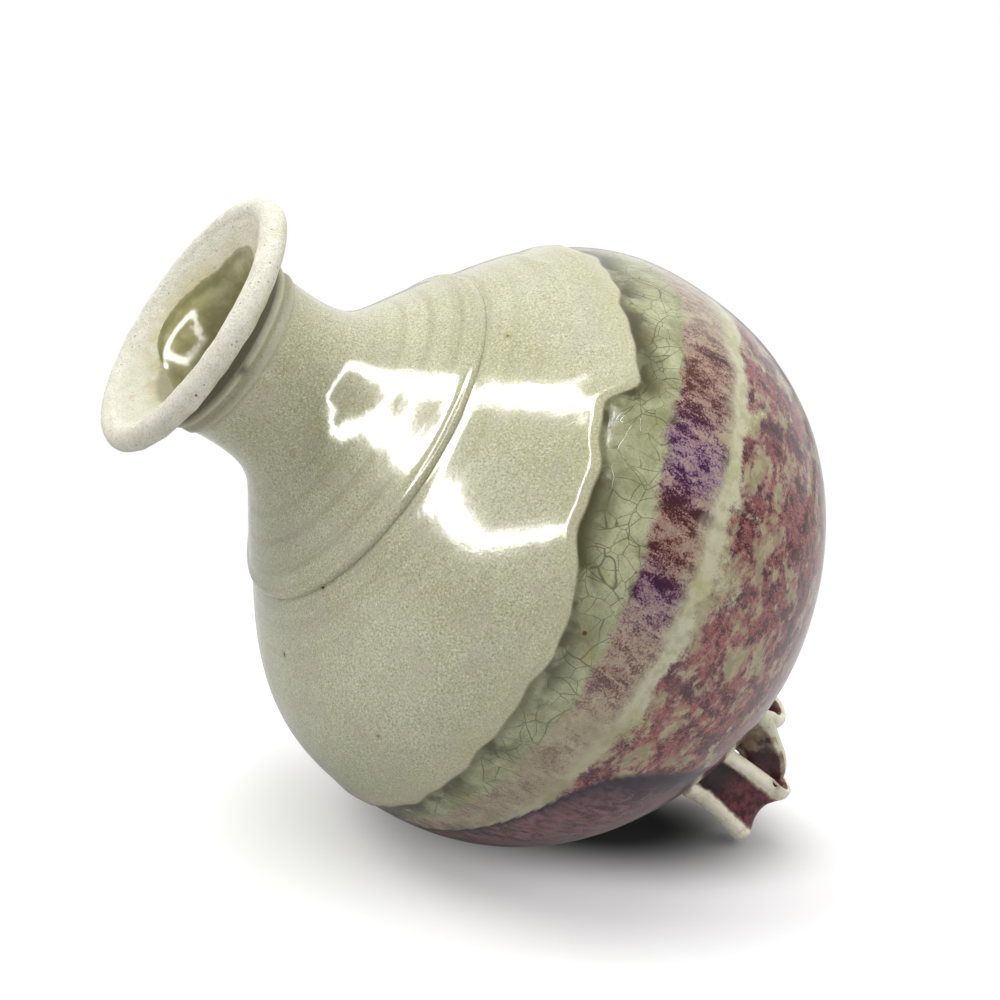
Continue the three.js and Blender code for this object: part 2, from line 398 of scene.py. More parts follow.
def globe_outside():
    """The globe's outline from its base to its shoulder, as in the CAD part."""
    rise = SHOULDER_HEIGHT - BELLY_HEIGHT
    drop = rise * 0.3
    lower = bezier(
        (BASE_FLAT, -BASE_DEPTH),
        (BELLY_RADIUS * 0.62, -BASE_DEPTH * 0.73),
        (BELLY_RADIUS, -BASE_DEPTH * 0.5),
        (BELLY_RADIUS, BELLY_HEIGHT),
        300,
    )
    upper = bezier(
        (BELLY_RADIUS, BELLY_HEIGHT),
        (BELLY_RADIUS, BELLY_HEIGHT + rise * 0.55),
        (SHOULDER_RADIUS + drop * SHOULDER_SLOPE, SHOULDER_HEIGHT - drop),
        (SHOULDER_RADIUS, SHOULDER_HEIGHT),
        300,
    )
    return np.vstack([lower, upper[1:]])


GLOBE_LINE = globe_outside()
GLOBE_RUN = run_along(GLOBE_LINE)


def run_at(height):
    """Distance along the globe's outline, from its base, at a height."""
    return np.interp(height, GLOBE_LINE[:, 1], GLOBE_RUN)


def ripple(angle, height, scale, seed):
    """Slow smooth noise over the thrown form, between about -1 and 1."""
    turn = np.radians(angle)
    flat = np.column_stack([np.cos(turn).ravel(), np.sin(turn).ravel(), height.ravel() / BELLY_RADIUS])
    values = [noise.noise(Vector(p) * scale + Vector((seed, 0.0, 0.0))) for p in flat.tolist()]
    return np.array(values).reshape(angle.shape)


def past_coat(angle, height):
    """Millimetres along the wall from the edge of the thick coat, towards the foot."""
    column = angle[0]
    wobble = 0.25 * np.sin(np.radians(column * 23.0)) + 0.2 * np.sin(np.radians(column * 41.0 + 60.0))
    edge = around(COAT_EDGE, column) + wobble
    return run_at(edge)[None, :] - run_at(height)


# Finger ridges: their height in millimetres, how many radians they turn for each millimetre of height,
# and the tilt that the potter's hand gave them
RIDGE_RISE = 0.016
RIDGE_PITCH = 1.9
RIDGE_SLOW_PITCH = 0.74
RIDGE_TILT = 0.8
RIDGE_TILT_FROM = 20.0


def along_ridges(angle, height):
    """Height that follows the tilt of the finger ridges."""
    return height + RIDGE_TILT * np.sin(np.radians(angle + RIDGE_TILT_FROM))


def throwing_rings(angle, height):
    """Fine finger ridges, strongest between the neck and the shoulder."""
    at = along_ridges(angle, height)
    fine = 0.6 * np.sin(at * RIDGE_PITCH) + 0.4 * np.sin(at * RIDGE_SLOW_PITCH + 1.0)
    share = 0.15 + 0.85 * smooth(height, 30.0, 44.0)
    return RIDGE_RISE * fine * share


def ring_valley_glaze_and_shade(angle, height):
    """Thin darker lines in the valleys between the finger ridges, and a few between those: glaze gathered
    there, and painted shade.
    """
    at = along_ridges(angle, height)
    valley = np.clip(-np.sin(at * RIDGE_PITCH), 0.0, 1.0) ** 3
    valley += 0.6 * np.clip(np.sin(at * 2.3 + 2.0), 0.0, 1.0) ** 6
    return np.clip(valley, 0.0, 1.0) * bell(height, 46.0, 9.0)


# Thickness of the coat in millimetres: on the globe, at its rolled edge, at the edge of a second dip
# that shows on one side only, on the neck, and at the step between neck and globe
COAT_RISE = 0.4
COAT_ROLL = 0.3
SECOND_ROLL = 0.28
SECOND_BACK = 9.5
SECOND_SIDE = -12.0
NECK_COAT = 0.42
SKIRT_EDGE = 0.16
SKIRT_DIP = 0.16


def globe_relief(angle, radius, height):
    past = past_coat(angle, height)
    outside = smooth(radius, 0.0, 4.0)
    coat = COAT_RISE * (1.0 - smooth(past, -1.0, 0.9)) + COAT_ROLL * bell(past, -2.0, 1.6)
    second = SECOND_ROLL * bell(past, -SECOND_BACK, 1.0)
    second *= smooth(-np.abs(apart(angle, SECOND_SIDE)), -42.0, -18.0)
    rings = throwing_rings(angle, height) * (1.0 - smooth(past, -4.0, 0.0))
    lumps = 0.07 * ripple(angle, height, 5.0, 3.0)
    under_skirt = -SKIRT_DIP * smooth(height, 41.2, 42.6)
    return (coat + second + rings + lumps + under_skirt) * outside


def band_marks(angle, height):
    """Band number at each point: 0 at the coat's edge, 1 and 2 at the violet band's edges, 3 at the red.
    Outside them it goes on by one for each 30 mm."""
    column = angle[0]
    run = run_at(height)
    pale = around(PALE_MIDDLE, column)
    edges = (around(COAT_EDGE, column), around(VIOLET_EDGE, column), pale + PALE_HALF, pale - PALE_HALF)
    edges = [run_at(edge)[None, :] for edge in edges]
    band = np.zeros_like(height)
    for start, end in zip(edges, edges[1:]):
        band += np.clip((start - run) / (start - end), 0.0, 1.0)
    beyond = np.clip((edges[-1] - run) / BEYOND_RUN, 0.0, 3.0)
    before = np.clip((run - edges[0]) / BEYOND_RUN, 0.0, 3.0)
    return band + beyond - before


def patched(angle, patches):
    shares = (strength * bell(apart(angle, side), 0.0, spread) for side, spread, strength in patches)
    return np.clip(sum(shares), 0.0, 1.0)


def glaze_marks(angle, radius, height):
    heights, starts = np.array(POOL_EDGE, dtype=float).T
    turned_by = apart(angle, 0.0)
    uneven = 0.7 * ripple(angle, height, 9.0, 14.0) + 1.2 * ripple(angle, height, 3.0, 17.0)
    over = np.interp(height, heights, starts) - turned_by + uneven
    lees = smooth(over, 0.0, 1.6) * (1.0 - smooth(-turned_by, 148.0, 172.0)) * (turned_by < 0.0)
    pool = lees * bell(np.maximum(over, 0.0), 0.0, 9.0) * smooth(height, -42.0, -30.0)
    return {
        "past_coat": past_coat(angle, height),
        "band": band_marks(angle, height),
        "violet": patched(angle, VIOLET_PATCHES),
        "brown": patched(angle, BROWN_PATCHES),
        "muddy": smooth(-turned_by, 90.0, 112.0) * (1.0 - smooth(-turned_by, 126.0, 150.0)),
        "pool": pool,
        "lees": lees,
        "ring": ring_valley_glaze_and_shade(angle, height),
    }


# Columns round each lathed skin, and the spacing of its rows in millimetres
GLOBE_COLUMNS = 320
GLOBE_ROWS = 0.55
HOLLOW_ROWS = 2.4
NECK_COLUMNS = 288
NECK_ROWS = 0.4
NECK_HOLLOW_ROWS = 0.8
MOUTH_COLUMNS = 240
MOUTH_ROWS = 0.4


def make_globe(material):
    outside = evened(np.vstack([[(0.0, -BASE_DEPTH)], GLOBE_LINE]), GLOBE_ROWS)
    inside = GLOBE_LINE - outwards(GLOBE_LINE) * GLOBE_WALL
    inside = inside[(inside[:, 0] > HOLLOW_TOP) | (inside[:, 1] < 0.0)]
    inside = evened(inside[::-1], HOLLOW_ROWS)
    top_height = SHOULDER_HEIGHT + JOINT_GAP
    top = [(SHOULDER_RADIUS - 2.0, top_height), (HOLLOW_TOP, top_height)]
    outline = np.vstack([outside, top, inside, [(0.0, GLOBE_WALL - BASE_DEPTH)]])
    count = len(outside)

    def relief(angle, radius, height):
        rise = np.zeros_like(radius)
        rise[:count] = globe_relief(angle[:count], radius[:count], height[:count])
        return rise

    skin("globe_skin", outline, GLOBE_COLUMNS, relief, glaze_marks, material, "globe_body")


# The neck's collar, the two ridges on it, and the dark notch in the glaze edge under the mouth ring, where
# shade is painted, in millimetres and degrees. The last two mark the neck as well inside the coat
COLLAR_START = 70.0
RIDGES = (74.8, 72.4)
RIDGE_WIDTH = 0.22
RIDGE_SPACING = 2.4
RIDGE_SWELL = 0.5
NOTCH_SIDE = -91.0
NOTCH_HEIGHT = 74.9
NECK_PAST_COAT = -40.0
NECK_BAND = -1.5


def make_neck(material):
    skirt = np.array([SHOULDER_RADIUS + SKIRT_PROUD, SHOULDER_HEIGHT + JOINT_GAP])
    sweep = bezier(
        skirt,
        (skirt[0] - NECK_SWEEP, skirt[1] + NECK_SWEEP / SHOULDER_SLOPE),
        (WAIST_RADIUS, (WAIST_HEIGHT + SHOULDER_HEIGHT) / 2),
        (WAIST_RADIUS, WAIST_HEIGHT),
        200,
    )
    edge = bezier((32.2, 42.3), (33.6, 42.2), skirt + (0.35, -0.6), skirt + (-0.25, 0.45), 12)
    along = np.linspace(0.0, 1.0, 90)[1:]
    collar_height = WAIST_HEIGHT + (NECK_TOP - WAIST_HEIGHT) * along
    collar_radius = WAIST_RADIUS + (NECK_TOP_RADIUS - WAIST_RADIUS) * along**2
    ridge_run = (NECK_TOP - collar_height) / RIDGE_SPACING
    swell = RIDGE_SWELL * np.abs(np.sin(np.pi * ridge_run)) ** 3
    collar = np.column_stack([collar_radius + np.where(ridge_run < 2.0, swell, 0.0), collar_height])
    below_rim = bezier((NECK_TOP_RADIUS, NECK_TOP), (16.4, 77.0), (17.0, 78.4), (19.0, 79.0), 8)[1:]
    outside = evened(np.vstack([edge, sweep[6:], collar, below_rim]), NECK_ROWS)
    inside = sweep - outwards(sweep) * NECK_WALL
    inside = inside[inside[:, 0] < HOLLOW_TOP - 2.0]
    top = [(2.6, 2.2), (2.2, 1.6), (1.4, 0.0), (0.6, -2.0), (0.0, -3.5)]
    top = [(THROAT_RADIUS + r, NECK_TOP + h) for r, h in top]
    inner = evened(np.vstack([top[1:], inside[::-1]]), NECK_HOLLOW_ROWS)
    foot_edge = (HOLLOW_TOP - 1.0, SHOULDER_HEIGHT + 0.4)
    outline = np.vstack([outside, top[:1], inner, [foot_edge, outside[0]]])
    count = len(outside)

    def relief(angle, radius, height):
        rise = np.zeros_like(radius)
        a, h = angle[:count], height[:count]
        faded = 1.0 - smooth(h, COLLAR_START, COLLAR_START + 4.0)
        lumps = 0.06 * ripple(a, h, 6.0, 9.0)
        edge = SKIRT_EDGE * bell(h, 43.7, 0.7)
        rise[:count] = (NECK_COAT + edge + throwing_rings(a, h) * faded + lumps) * smooth(h, 42.2, 43.0)
        rise[:count] *= 1.0 - smooth(h, 76.5, 78.5)
        rise[0] = 0.0
        return rise

    def marks(angle, radius, height):
        inner_rows = np.arange(len(height))[:, None] >= count
        notch = bell(height, NOTCH_HEIGHT, 0.7) * bell(apart(angle, NOTCH_SIDE), 0.0, 3.5)
        return {
            **{key: np.zeros_like(height) for key in ("violet", "brown", "muddy", "pool", "lees")},
            "past_coat": np.full_like(height, NECK_PAST_COAT),
            "band": np.full_like(height, NECK_BAND),
            "ring": ring_valley_glaze_and_shade(angle, height),
            "inner": np.repeat(inner_rows, height.shape[1], axis=1).astype(float),
            "collar": smooth(height, COLLAR_START + 0.5, COLLAR_START + 3.0),
            "ridge": sum(bell(height, ridge, RIDGE_WIDTH) for ridge in RIDGES),
            # Painted shade in the gap under the mouth ring, with the dark notch in the glaze edge
            "rim_shade_and_notch": np.maximum(smooth(height, 75.0, 76.0), notch),
        }

    skin("neck_skin", outline, NECK_COLUMNS, relief, marks, material, "neck")


# Thickness of the throat's glaze, and its mark away from the dish, in millimetres
THROAT_GLAZE = 0.22
FAR_FROM_GLAZE = -9.0


def make_mouth(material):
    bead = np.radians(np.linspace(-110.0, 145.0, 44))
    bead = np.column_stack([LIP_RADIUS + LIP_BEAD * np.cos(bead), LIP_HEIGHT + LIP_BEAD * np.sin(bead)])
    under = bezier(
        (NECK_TOP_RADIUS, NECK_TOP + JOINT_GAP),
        (NECK_TOP_RADIUS + 0.4, FLANGE_UNDERSIDE - 1.2),
        (LIP_RADIUS - LIP_BEAD * 1.7, FLANGE_UNDERSIDE),
        bead[0],
    )
    dish = bezier(
        bead[-1],
        (LIP_RADIUS - LIP_BEAD * 1.6, LIP_HEIGHT + 0.3),
        (DISH_RADIUS + 1.6, DISH_HEIGHT + 1.0),
        (DISH_RADIUS, DISH_HEIGHT),
    )
    throat = bezier(
        (DISH_RADIUS, DISH_HEIGHT),
        (DISH_RADIUS - 1.9, DISH_HEIGHT - 1.2),
        (THROAT_RADIUS - 0.4, NECK_TOP),
        (THROAT_RADIUS - 1.2, NECK_TOP - 8.0),
    )
    back = [(-0.95, -8.0), (-0.5, -5.0), (0.1, -2.4), (1.0, 0.4)]
    back = [(THROAT_RADIUS + r, NECK_TOP + h) for r, h in back]
    outline = evened(np.vstack([under, bead[1:], dish[1:], throat[1:]]), MOUTH_ROWS)
    seats = len(outline)
    outline = np.vstack([outline, back, outline[:1]])

    def inside_glaze(angle, radius):
        """Millimetres inwards from the edge of the throat's glaze."""
        edge = around(THROAT_EDGE, angle[0])[None, :]
        row = np.arange(len(radius))[:, None]
        past_bead = (row > seats * 0.5) & (row < seats)
        return np.where(past_bead, edge - radius, FAR_FROM_GLAZE)

    def relief(angle, radius, height):
        glazed = smooth(inside_glaze(angle, radius), -0.2, 0.9)
        rise = 0.16 * ripple(angle, height, 4.0, 21.0) + 0.1 * ripple(angle, height, 12.0, 33.0)
        rise = rise * (1.0 - 0.8 * glazed) + THROAT_GLAZE * glazed
        rise[seats:] = 0.0
        rise[:6] = 0.0
        return rise

    def marks(angle, radius, height):
        return {
            "inside_glaze": inside_glaze(angle, radius),
            "dish": 1.0 - smooth(radius, 19.5, 22.0),
            # Painted shade, darker deeper down the throat
            "deep_throat_shade": (1.0 - smooth(height, 69.0, 78.5)) * (radius < 15.0),
            "tinge": 1.0 - smooth(height, 79.6, 81.6),
            # Painted shade under the flange, next to the neck
            "under": smooth(-height, -79.6, -78.6) * (radius < 22.0),
        }

    skin("mouth_ring_skin", outline, MOUTH_COLUMNS, relief, marks, material, "mouth_ring")


# Strap feet, on the same lines as the CAD straps

STRAP_WIDTH = 12.0
STRAP_FLARE = 2.4
STRAP_TAIL_WIDTH = 6.4
STRAP_THICKNESS = 3.5
STRAP_GROOVE = 1.3
ROOT_RADIUS = 14.6
ROOT_SWING = -1.6
TIP_RADIUS = 14.4
TAIL_INSET = 4.6
TAIL_SWING = 6.6
TAIL_BOW = 8.4
FOLD_INNER = 0.5
TAIL_TWIST = -16.0
STAND_HEIGHT = 73.0
ROOT_SINK = 3.2
FRONT_BOW = 0.7
TAIL_SLACK = 1.5
LIP_WIDTH = 2.2
LOWEST_POINT = 0.02

# Extra width in millimetres where the strap's root and tail are smeared on the globe, and the share of
# the strap over which the root's widening and thickening fade
ROOT_SPREAD = 2.0
ROOT_SPREAD_RUN = 0.15
ROOT_SWELL_RUN = 0.08
TAIL_SPREAD = 7.0

# Points along the strap's front, fold and tail, and across its groove, its rolled lips and its back
FRONT_ROWS = 15
FOLD_ROWS = 13
TAIL_ROWS = 18
GROOVE_POINTS = 15
LIP_POINTS = 9
BACK_POINTS = 9

FEET = [
    {"name": "strap_foot_front", "azimuth": -29.0, "width": 1.0, "reach": 1.6, "twist": 38.0},
    {"name": "strap_foot_right", "azimuth": 143.0, "width": 0.76, "reach": 0.0, "twist": 20.0},
    {"name": "strap_foot_left", "azimuth": 237.0, "width": 0.82, "reach": 0.6, "twist": 20.0},
]


def strap_line(reach):
    """The strap's middle line in the foot's own frame, each point's share along the tail, and its share
    along the front."""
    half = STRAP_THICKNESS / 2
    fold = FOLD_INNER + half
    bottom = fold + half

    def wall(radius):
        return STAND_HEIGHT - math.sqrt(BELLY_RADIUS**2 - radius**2) + ROOT_SINK

    root = np.array([ROOT_RADIUS + reach - half, ROOT_SWING, wall(ROOT_RADIUS)])
    start = np.array([TIP_RADIUS + reach - half, 0.0, bottom])
    end = start - (2 * fold, 0.0, 0.0)
    tail = np.array([TAIL_INSET, TAIL_SWING, wall(0.0) + 1.0])
    t = np.linspace(0.0, 1.0, FRONT_ROWS)[:, None]
    front = root + (start - root) * t + np.array([-FRONT_BOW, 0.0, 0.0]) * np.sin(np.pi * t)
    turn = np.linspace(0.0, math.pi, FOLD_ROWS)[1:-1]
    middle = start - (fold, 0.0, 0.0)
    loop = middle + fold * np.column_stack([np.cos(turn), np.zeros_like(turn), -np.sin(turn)])
    back = bezier(end, (end[0], TAIL_BOW, bottom + 4.0), tail - (0.0, 0.0, 8.0), tail, TAIL_ROWS)
    back[:, 0] -= TAIL_SLACK * np.sin(np.pi * np.linspace(0.0, 1.0, TAIL_ROWS) ** 0.7)
    points = np.vstack([front, loop, back])
    tail_share = np.concatenate([np.zeros(len(front) + len(loop)), np.linspace(0.0, 1.0, TAIL_ROWS)])
    front_share = np.concatenate([t[:, 0], np.ones(len(loop) + TAIL_ROWS)])
    return points, tail_share, front_share


def strap_section(width):
    """Across and outwards: a groove between two rolled lips, and the share of lip at each point."""
    half = width / 2
    outer = STRAP_THICKNESS / 2
    lip = min(LIP_WIDTH, half * 0.42)
    arc = np.linspace(math.pi / 2, -math.pi / 2, LIP_POINTS)[1:-1]

    def rolled(side, turns):
        reach = half - lip + lip * np.cos(turns)
        return [side * reach, outer * np.sin(turns), np.where(turns > -0.6, 1.0, 0.35)]

    t = np.linspace(1.0, -1.0, GROOVE_POINTS)
    groove = [t * (half - lip), outer - STRAP_GROOVE * (1.0 - np.abs(t) ** 2.4), np.abs(t) ** 3]
    t = np.linspace(-1.0, 1.0, BACK_POINTS)
    back = [t * (half - lip), np.full(BACK_POINTS, -outer), np.full(BACK_POINTS, 0.15)]
    return np.hstack([groove, rolled(-1.0, arc), back, rolled(1.0, arc[::-1])])


def make_foot(foot, material):
    points, tail_share, front_share = strap_line(foot["reach"])
    rows, lips = [], []
    for i, here in enumerate(points):
        ahead = points[min(i + 1, len(points) - 1)] - points[max(i - 1, 0)]
        ahead = ahead / np.linalg.norm(ahead)
        twist = math.radians(foot["twist"] + (TAIL_TWIST - foot["twist"]) * tail_share[i])
        across = np.array([-math.sin(twist), math.cos(twist), 0.0])
        across -= ahead * np.dot(across, ahead)
        across /= np.linalg.norm(across)
        out = np.cross(ahead, across)
        front = (STRAP_WIDTH + STRAP_FLARE * front_share[i] ** 1.3) * foot["width"]
        front += ROOT_SPREAD * math.exp(-front_share[i] / ROOT_SPREAD_RUN)
        width = front + (STRAP_TAIL_WIDTH - front) * math.sqrt(tail_share[i])
        width += TAIL_SPREAD * max(0.0, tail_share[i] - 0.5) / 0.5
        x, y, mark = strap_section(width)
        y = np.where(y < 0.0, y * (1.0 + math.exp(-front_share[i] / ROOT_SWELL_RUN)), y)
        rows.append(here + np.outer(x, across) + np.outer(y, out))
        lips.append(mark)
    columns = len(rows[0])
    x, y, z = np.vstack(rows).T
    turn = math.radians(foot["azimuth"] - 90.0)
    spun_x = x * math.cos(turn) - y * math.sin(turn) + GLOBE_MIDDLE.x / MM
    spun_y = x * math.sin(turn) + y * math.cos(turn)
    spun = np.column_stack([spun_x, spun_y, np.maximum(z, LOWEST_POINT)])
    faces = ring_faces([False] * len(rows), columns)
    last = (len(rows) - 1) * columns
    faces.append(tuple(range(columns))[::-1])
    faces.append(tuple(range(last, last + columns)))
    marks = {
        "lip": np.concatenate(lips),
        "run": np.repeat(run_along(points), columns),
        "tail": np.repeat(tail_share, columns),
    }
    name = foot["name"] + "_skin"
    piece = placed(name, marked_mesh(name, spun, faces, marks), material, foot["name"])
    rounding = piece.modifiers.new("rounding", "SUBSURF")
    rounding.levels = 1
    rounding.render_levels = 1


# Glazes and clay. The numbers are scales per millimetre, thresholds of noises and shares of colours

GLAZE_ROUGHNESS = 0.12
GLAZE_INDEX = 1.55
COLLAR_ROUGHNESS = 0.42
CLAY_ROUGHNESS = 0.9
THROAT_SMOOTHER_BY = 0.78
FOOT_ROUGHNESS = 0.34
STREAK_STRETCH = (1.0, 1.0, 0.45)


def speckle(g, scale, share, size, shift=(0.0, 0.0, 0.0)):
    """Round specks: 1 inside a few random cells."""
    sockets = {"Vector": g.vector("ADD", g.place(), shift), "Scale": scale}
    cells = g.node("TexVoronoi", sockets).outputs
    near = g.inverse(g.steps(cells["Distance"], size * 0.5, size))
    parts = g.node("SeparateColor", {"Color": cells["Color"]})
    return g.times(near, g.math("GREATER_THAN", parts.outputs[0], 1.0 - share))


def shared_noises(g):
    """What several bands share: noises from fine to coarse, and the mud of the lower left side."""
    patches = g.noise(0.11, 3.0, 0.55, shift=(7.0, 2.0, 5.0))
    return SimpleNamespace(
        grain=g.noise(2.6, 2.0, 0.75),
        mottle=g.noise(0.5, 4.0, 0.6),
        streaks=g.noise(0.5, 5.0, 0.68, STREAK_STRETCH, 0.5),
        patches=patches,
        muddy=g.attribute("muddy"),
        mud=g.mix(g.steps(patches, 0.42, 0.58), "ada488", "928a6b"),
    )


def coat_tone(g, n, past):
    """The thick grey-green coat of the neck and the shoulder."""
    coat = g.mix(g.steps(g.noise(0.045, 2.0, 0.5), 0.35, 0.65), "b6b794", "c1c2a5")
    coat = g.tints(
        coat,
        ("a8a584", n.mottle, 0.42, 0.72, 0.3),
        ("878567", n.grain, 0.5, 0.7, 0.75),
        ("e2e1d0", n.grain, 0.48, 0.29, 0.75),
        ("8a886b", g.noise(5.5, 1.0, 0.6), 0.52, 0.72, 0.65),
        # Darker lines in the ridge valleys: glaze gathered there, and painted shade
        ("8e8b6c", g.attribute("ring"), 0.4),
    )
    flush = g.steps(g.noise(0.14, 3.0, 0.6, shift=(9.0, 4.0, 2.0)), 0.48, 0.66)
    coat = g.tint(coat, "b0a899", flush, 0.35)
    return g.tint(coat, "bab58f", g.steps(past, -7.0, -1.0), 0.3)


def crackle(g, level):
    """The celadon's cracks: a fine net that comes and goes, and a wide one."""
    sockets = {"Vector": g.place(), "Scale": 0.09, "Detail": 1.0}
    bend = g.node("TexNoise", sockets).outputs["Color"]
    bend = g.node("VectorMath", {0: bend, "Scale": 8.0}, operation="SCALE").outputs[0]
    bent = g.vector("ADD", g.place((1.0, 1.0, 0.8)), bend)

    def net(scale, thin, faded):
        sockets = {"Vector": bent, "Scale": scale}
        cells = g.node("TexVoronoi", sockets, feature="DISTANCE_TO_EDGE")
        return g.inverse(g.steps(cells.outputs["Distance"], thin, faded))

    where = g.steps(g.noise(0.13, 2.0, 0.5, shift=(4.0, 4.0, 9.0)), 0.3, 0.52)
    fine = g.times(net(0.31, 0.004, 0.028), where)
    in_celadon = g.times(g.steps(level, -0.05, 0.3), g.inverse(g.steps(level, 0.85, 1.5)))
    return g.times(g.math("MAXIMUM", fine, net(0.1, 0.002, 0.012)), in_celadon)


def celadon_tone(g, n, past, cracks):
    """Pale crackled celadon, with patchy painted shade below the coat's edge and a thin painted shadow
    line right along it.
    """
    celadon = g.mix(g.steps(g.noise(0.12, 4.0, 0.65), 0.36, 0.64), "b4b693", "8c8d69")
    celadon = g.tints(
        celadon,
        ("999b75", n.mottle, 0.42, 0.7, 0.5),
        ("a5a04c", n.patches, 0.58, 0.72, 0.5),
        ("6c7050", n.grain, 0.48, 0.72, 0.5),
        ("464a34", cracks, 0.7),
    )
    # Painted shade below the coat's edge, patchy, fading out over about 7 mm
    painted_edge_shade = g.plus(0.25, g.times(g.steps(n.patches, 0.42, 0.54), 0.7))
    painted_edge_shade = g.times(g.inverse(g.steps(past, 0.5, 7.5)), painted_edge_shade)
    celadon = g.mix(painted_edge_shade, celadon, "47462c")
    # A thin painted shadow line right along the coat's edge
    return g.tint(celadon, "4a4830", g.inverse(g.steps(past, 0.7, 2.4)), 0.45)


def violet_tone(g, n):
    """Streaks of violet, brown and plum over mauve."""
    broad = g.noise(0.3, 3.0, 0.6, STREAK_STRETCH, 0.4, (11.0, 3.0, 7.0))
    blots = g.noise(0.17, 3.0, 0.6, shift=(2.0, 6.0, 1.0))
    strength = g.math("ADD", g.attribute("violet"), g.attribute("brown"), clamp=True)
    depth = g.plus(g.times(n.streaks, 0.65), g.times(broad, 0.35))
    depth = g.plus(g.plus(depth, g.swing(blots, 0.3)), g.swing(n.grain, 0.5))
    depth = g.plus(depth, g.times(strength, 0.08))
    mauve = g.mix(g.steps(n.mottle, 0.35, 0.65), "b3a88d", "998878")
    mauve = g.tints(
        mauve,
        ("6f5b50", n.grain, 0.5, 0.75, 0.6),
        (n.mud, n.muddy, 0.5),
        ("91756f", strength, 0.5),
    )
    dark = g.steps(depth, 0.5, 0.66)
    tone = g.mix(g.attribute("violet"), g.mix(dark, "805a56", "3b2027"), g.mix(dark, "8d6895", "3a1b3e"))
    tone = g.mix(g.attribute("brown"), tone, g.mix(dark, "96675c", "4c2926"))
    share = g.times(g.steps(depth, 0.45, 0.6), g.math("ADD", 0.42, strength, clamp=True))
    return g.mix(share, mauve, tone)


def pale_tone(g, n):
    """The narrow pale band between the violet and the red."""
    pale = g.mix(g.steps(n.mottle, 0.4, 0.7), "bfbb9f", "a8a489")
    return g.tints(
        pale,
        ("a8a768", n.patches, 0.5, 0.68, 0.5),
        ("867d69", n.grain, 0.52, 0.8, 0.4),
        (n.mud, n.muddy, 0.75),
    )


def red_tone(g, n, band):
    """Mottled copper red with greenish islands, fewer of them towards the base."""
    red = g.mix(g.steps(g.noise(0.33, 5.0, 0.75), 0.44, 0.57), "8f5552", "4c262b")
    red = g.tints(
        red,
        ("351b20", n.grain, 0.45, 0.7, 0.65),
        ("b78c80", n.grain, 0.46, 0.26, 0.65),
        ("45303c", g.noise(0.08, 2.0, 0.5), 0.48, 0.62, 0.5),
    )
    spread = g.plus(g.noise(0.15, 5.0, 0.7, (1.0, 1.0, 1.4), 0.2), g.swing(n.grain, 0.09))
    spread = g.minus(spread, g.times(g.steps(band, 3.2, 4.6), 0.05))
    islands = g.mix(g.steps(n.mottle, 0.38, 0.62), "a89f80", "8a8565")
    islands = g.tint(islands, "8f9058", g.steps(n.patches, 0.5, 0.66), 0.5)
    return g.tints(
        red,
        ("9c7a6e", spread, 0.47, 0.53, 0.7),
        (islands, spread, 0.515, 0.575, 0.9),
        ("5b4049", band, 4.0, 4.7, 0.4),
    )


def lees_tone(g, n):
    """The dull violet film round the dark pool."""
    lees = g.mix(g.steps(n.streaks, 0.4, 0.6), "8d6470", "442a38")
    return g.tint(lees, "7b5d59", g.steps(n.patches, 0.4, 0.6), 0.4)


def glaze_material():
    g = Graph(bpy.data.materials.new("banded_glaze"), thrown=True)
    n = shared_noises(g)
    past = g.attribute("past_coat")
    band = g.attribute("band")
    lees = g.attribute("lees")
    collar = g.attribute("collar")

    wander = g.swing(g.noise(0.2, 4.0, 0.65), 0.6)
    far_wander = g.swing(g.noise(0.1, 5.0, 0.65, shift=(1.0, 8.0, 3.0)), 2.4)
    level = g.plus(band, g.plus(wander, g.swing(n.mottle, 0.25)))
    mid_level = g.plus(level, g.times(far_wander, 0.3))
    far_level = g.plus(band, g.plus(far_wander, g.swing(n.grain, 0.4)))
    cracks = crackle(g, level)

    tone = g.mix(g.steps(level, 0.88, 1.08), celadon_tone(g, n, past, cracks), violet_tone(g, n))
    tone = g.mix(g.steps(mid_level, 1.7, 2.2), tone, pale_tone(g, n))
    red = g.tint(red_tone(g, n, band), lees_tone(g, n), lees, 0.9)
    tone = g.mix(g.math("MAXIMUM", g.steps(far_level, 2.6, 2.95), lees), tone, red)
    pool = g.mix(g.steps(n.streaks, 0.35, 0.65), "231e33", "100b16")
    tone = g.mix(g.attribute("pool"), tone, pool)
    tone = g.mix(g.steps(past, -0.3, 0.45), coat_tone(g, n, past), tone)

    pin_specks = speckle(g, 0.45, 0.2, 0.12, (3.0, 5.0, 1.0))
    tone = g.tints(
        tone,
        ("6b6640", pin_specks, 0.55),
        ("9a7f3c", speckle(g, 0.13, 0.3, 0.16), 0.35),
        ("2c2415", speckle(g, 0.13, 0.3, 0.07), 0.9),
        ("827d62", collar, 0.6),
        ("d3d1bd", g.attribute("ridge"), 0.55),
        # Painted shade under the mouth ring, and the dark notch in the glaze edge
        ("40391f", g.attribute("rim_shade_and_notch"), 0.85),
    )
    tone = g.mix(g.attribute("inner"), tone, "7d7a58")

    dimples = g.plus(g.times(g.noise(0.3, 2.0, 0.5), 0.7), g.times(g.noise(1.7, 2.0, 0.6), 0.22))
    dimples = g.minus(g.minus(dimples, g.times(cracks, 0.15)), g.times(pin_specks, 0.2))
    roughness = g.plus(GLAZE_ROUGHNESS, g.times(g.steps(n.mottle, 0.4, 0.8), 0.06))
    roughness = g.plus(roughness, g.times(collar, COLLAR_ROUGHNESS))
    return g.finish(tone, roughness, g.bump(dimples, 0.11, 0.6), IOR=GLAZE_INDEX)


